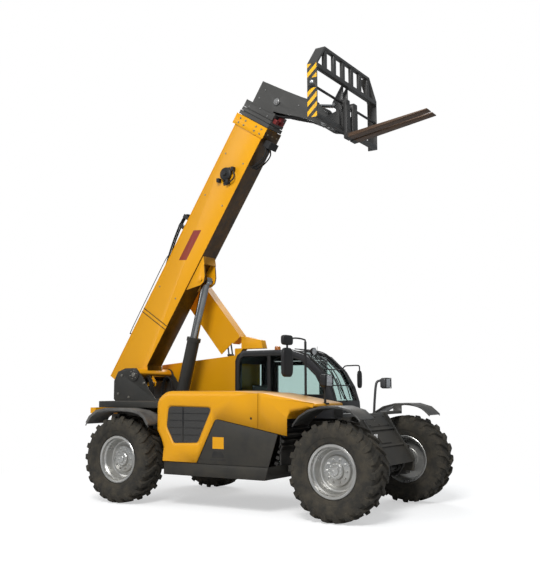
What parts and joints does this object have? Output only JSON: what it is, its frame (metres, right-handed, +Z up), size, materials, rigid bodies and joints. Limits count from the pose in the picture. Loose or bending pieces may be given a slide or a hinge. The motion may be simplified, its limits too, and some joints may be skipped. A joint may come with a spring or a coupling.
{
  "type": "telehandler",
  "caption": "Telescopic handler with a four-section boom raised, pallet forks on a wide carriage, a side cab, an engine bay and four steered wheels.",
  "frame": {"origin": "middle of the machine's box, on the ground", "axes": "+X towards the front of the machine, +Y to its left, +Z up"},
  "size_m": [5.4478, 2.55, 6.13],
  "materials": {
    "yellow_paint": "satin paint, scuffed",
    "dark_paint": "dusty dark grey paint",
    "black_plastic": "matte",
    "rubber": "worn, brown dust",
    "silver_paint": "silver paint, dusty",
    "chrome_rod": "polished",
    "steel": "dark worn steel",
    "glass": "clear, slightly tinted",
    "amber": "amber lens",
    "upholstery": "black vinyl"
  },
  "bodies": {
    "chassis": {"counterweight": "yellow_paint", "front_body_right": "yellow_paint", "rear_left_body": "yellow_paint", "frame_plate_right": "dark_paint", "frame_plate_left": "dark_paint", "frame_deck": "dark_paint", "front_axle": "dark_paint", "rear_axle": "dark_paint", "front_right_fender": "dark_paint", "front_left_fender": "dark_paint", "right_sill": "dark_paint", "side_panel": "dark_paint", "rear_deck": "dark_paint", "cab_shell": "dark_paint", "rear_right_fender": "black_plastic", "rear_left_fender": "black_plastic", "operator_controls": "black_plastic", "right_mirror": "black_plastic", "left_mirror": "black_plastic", "headlamp_right": "black_plastic", "headlamp_left": "black_plastic", "engine_block": "steel", "windscreen": "glass", "side_window": "glass", "corner_window": "glass", "rear_window": "glass", "beacon": "amber", "seat": "upholstery"},
    "boom": {"boom_base": "yellow_paint", "boom_hoses": "black_plastic"},
    "boom_2": {"boom_section_2": "yellow_paint"},
    "boom_3": {"boom_section_3": "yellow_paint"},
    "head": {"boom_section_4": "dark_paint", "tilt_barrel": "dark_paint"},
    "tilt_rod": {"tilt_rod": "chrome_rod"},
    "carriage": {"fork_carriage": "dark_paint", "forks": "steel"},
    "lift_barrel": {"lift_barrel": "dark_paint"},
    "lift_rod": {"lift_rod": "chrome_rod"},
    "compensation_barrel": {"compensation_barrel": "dark_paint"},
    "compensation_rod": {"compensation_rod": "chrome_rod"},
    "door": {"cab_door": "dark_paint", "door_glass": "glass"},
    "bonnet": {"engine_bonnet": "yellow_paint"},
    "cover": {"rear_cover": "yellow_paint"},
    "stay": {"cover_stay": "steel"},
    "front_right_knuckle": {"front_right_knuckle": "dark_paint"},
    "front_right_wheel": {"front_right_rim": "silver_paint", "front_right_tyre": "rubber"},
    "front_left_knuckle": {"front_left_knuckle": "dark_paint"},
    "front_left_wheel": {"front_left_rim": "silver_paint", "front_left_tyre": "rubber"},
    "rear_right_knuckle": {"rear_right_knuckle": "dark_paint"},
    "rear_right_wheel": {"rear_right_rim": "silver_paint", "rear_right_tyre": "rubber"},
    "rear_left_knuckle": {"rear_left_knuckle": "dark_paint"},
    "rear_left_wheel": {"rear_left_rim": "silver_paint", "rear_left_tyre": "rubber"}
  },
  "joints": [
    {"name": "boom_lift", "type": "hinge", "parent": "chassis", "child": "boom", "pos_m": [-2.01667, 0, 1.79], "axis": [0, -1, 0], "range_deg": [-61, 10]},
    {"name": "lift_cylinder_swing", "type": "hinge", "parent": "chassis", "child": "lift_barrel", "pos_m": [-1.45667, 0, 1.28], "axis": [0, -1, 0], "range_deg": [-60, 10]},
    {"name": "lift_rod_slide", "type": "slide", "parent": "lift_barrel", "child": "lift_rod", "axis": [0.2509, 0, 0.968], "range_m": [-0.792, 0.133]},
    {"name": "compensation_cylinder_swing", "type": "hinge", "parent": "chassis", "child": "compensation_barrel", "pos_m": [-2.06667, -0.11, 1.165], "axis": [0, -1, 0], "range_deg": [-3.5, 21.3]},
    {"name": "compensation_rod_slide", "type": "slide", "parent": "compensation_barrel", "child": "compensation_rod", "axis": [0.3313, 0, 0.9435], "range_m": [-0.062, 0.011]},
    {"name": "boom_extend", "type": "slide", "parent": "boom", "child": "boom_2", "axis": [0.5432, 0, 0.8396], "range_m": [0, 3]},
    {"name": "boom_extend_3", "type": "slide", "parent": "boom_2", "child": "boom_3", "axis": [0.5432, 0, 0.8396], "range_m": [0, 3]},
    {"name": "boom_extend_4", "type": "slide", "parent": "boom_3", "child": "head", "axis": [0.5432, 0, 0.8396], "range_m": [0, 3]},
    {"name": "carriage_tilt", "type": "hinge", "parent": "head", "child": "carriage", "pos_m": [1.22267, 0, 5.25999], "axis": [0, 1, 0], "range_deg": [-62, 62]},
    {"name": "tilt_rod_slide", "type": "slide", "parent": "head", "child": "tilt_rod", "axis": [0.979, 0, -0.2037], "range_m": [-0.253, 0.253]},
    {"name": "front_steer", "type": "hinge", "parent": "chassis", "child": "front_right_knuckle", "pos_m": [1.83333, -0.84, 0.6], "axis": [0, 0, 1], "range_deg": [-30, 30]},
    {"name": "front_right_wheel_spin", "type": "hinge", "parent": "front_right_knuckle", "child": "front_right_wheel", "pos_m": [1.83333, -1.07, 0.6], "axis": [0, 1, 0], "continuous": true},
    {"name": "front_steer_left", "type": "hinge", "parent": "chassis", "child": "front_left_knuckle", "pos_m": [1.83333, 0.84, 0.6], "axis": [0, 0, 1], "range_deg": [-30, 30]},
    {"name": "front_left_wheel_spin", "type": "hinge", "parent": "front_left_knuckle", "child": "front_left_wheel", "pos_m": [1.83333, 1.07, 0.6], "axis": [0, 1, 0], "continuous": true},
    {"name": "rear_steer", "type": "hinge", "parent": "chassis", "child": "rear_right_knuckle", "pos_m": [-1.56667, -0.84, 0.6], "axis": [0, 0, -1], "range_deg": [-30, 30]},
    {"name": "rear_right_wheel_spin", "type": "hinge", "parent": "rear_right_knuckle", "child": "rear_right_wheel", "pos_m": [-1.56667, -1.07, 0.6], "axis": [0, 1, 0], "continuous": true},
    {"name": "rear_steer_left", "type": "hinge", "parent": "chassis", "child": "rear_left_knuckle", "pos_m": [-1.56667, 0.84, 0.6], "axis": [0, 0, -1], "range_deg": [-30, 30]},
    {"name": "rear_left_wheel_spin", "type": "hinge", "parent": "rear_left_knuckle", "child": "rear_left_wheel", "pos_m": [-1.56667, 1.07, 0.6], "axis": [0, 1, 0], "continuous": true},
    {"name": "cab_door_hinge", "type": "hinge", "parent": "chassis", "child": "door", "pos_m": [-0.41367, 1.124, 1.39], "axis": [0, 0, 1], "range_deg": [0, 80]},
    {"name": "engine_bonnet_hinge", "type": "hinge", "parent": "chassis", "child": "bonnet", "pos_m": [-0.06667, -0.43, 1.546], "axis": [-1, 0, 0], "range_deg": [0, 50]},
    {"name": "rear_cover_hinge", "type": "hinge", "parent": "chassis", "child": "cover", "pos_m": [-0.61217, 0.5, 2.365], "axis": [0, 1, 0], "range_deg": [-50, 0]},
    {"name": "cover_stay_hinge", "type": "hinge", "parent": "chassis", "child": "stay", "pos_m": [-0.85667, 0.51, 2.08913], "axis": [0, 1, 0], "range_deg": [-80, 0]}
  ],
  "couplings": [
    {"joint": "lift_cylinder_swing", "follows": "boom_lift", "ratio": 0.97},
    {"joint": "lift_rod_slide", "follows": "boom_lift", "m_per_rad": 0.74},
    {"joint": "compensation_cylinder_swing", "follows": "boom_lift", "ratio": -0.346},
    {"joint": "compensation_rod_slide", "follows": "boom_lift", "m_per_rad": 0.0573},
    {"joint": "boom_extend_3", "follows": "boom_extend", "ratio": 1},
    {"joint": "boom_extend_4", "follows": "boom_extend", "ratio": 1},
    {"joint": "tilt_rod_slide", "follows": "carriage_tilt", "m_per_rad": 0.2326},
    {"joint": "front_steer_left", "follows": "front_steer", "ratio": 1},
    {"joint": "rear_steer_left", "follows": "rear_steer", "ratio": 1},
    {"joint": "cover_stay_hinge", "follows": "rear_cover_hinge", "ratio": 1.6}
  ]
}
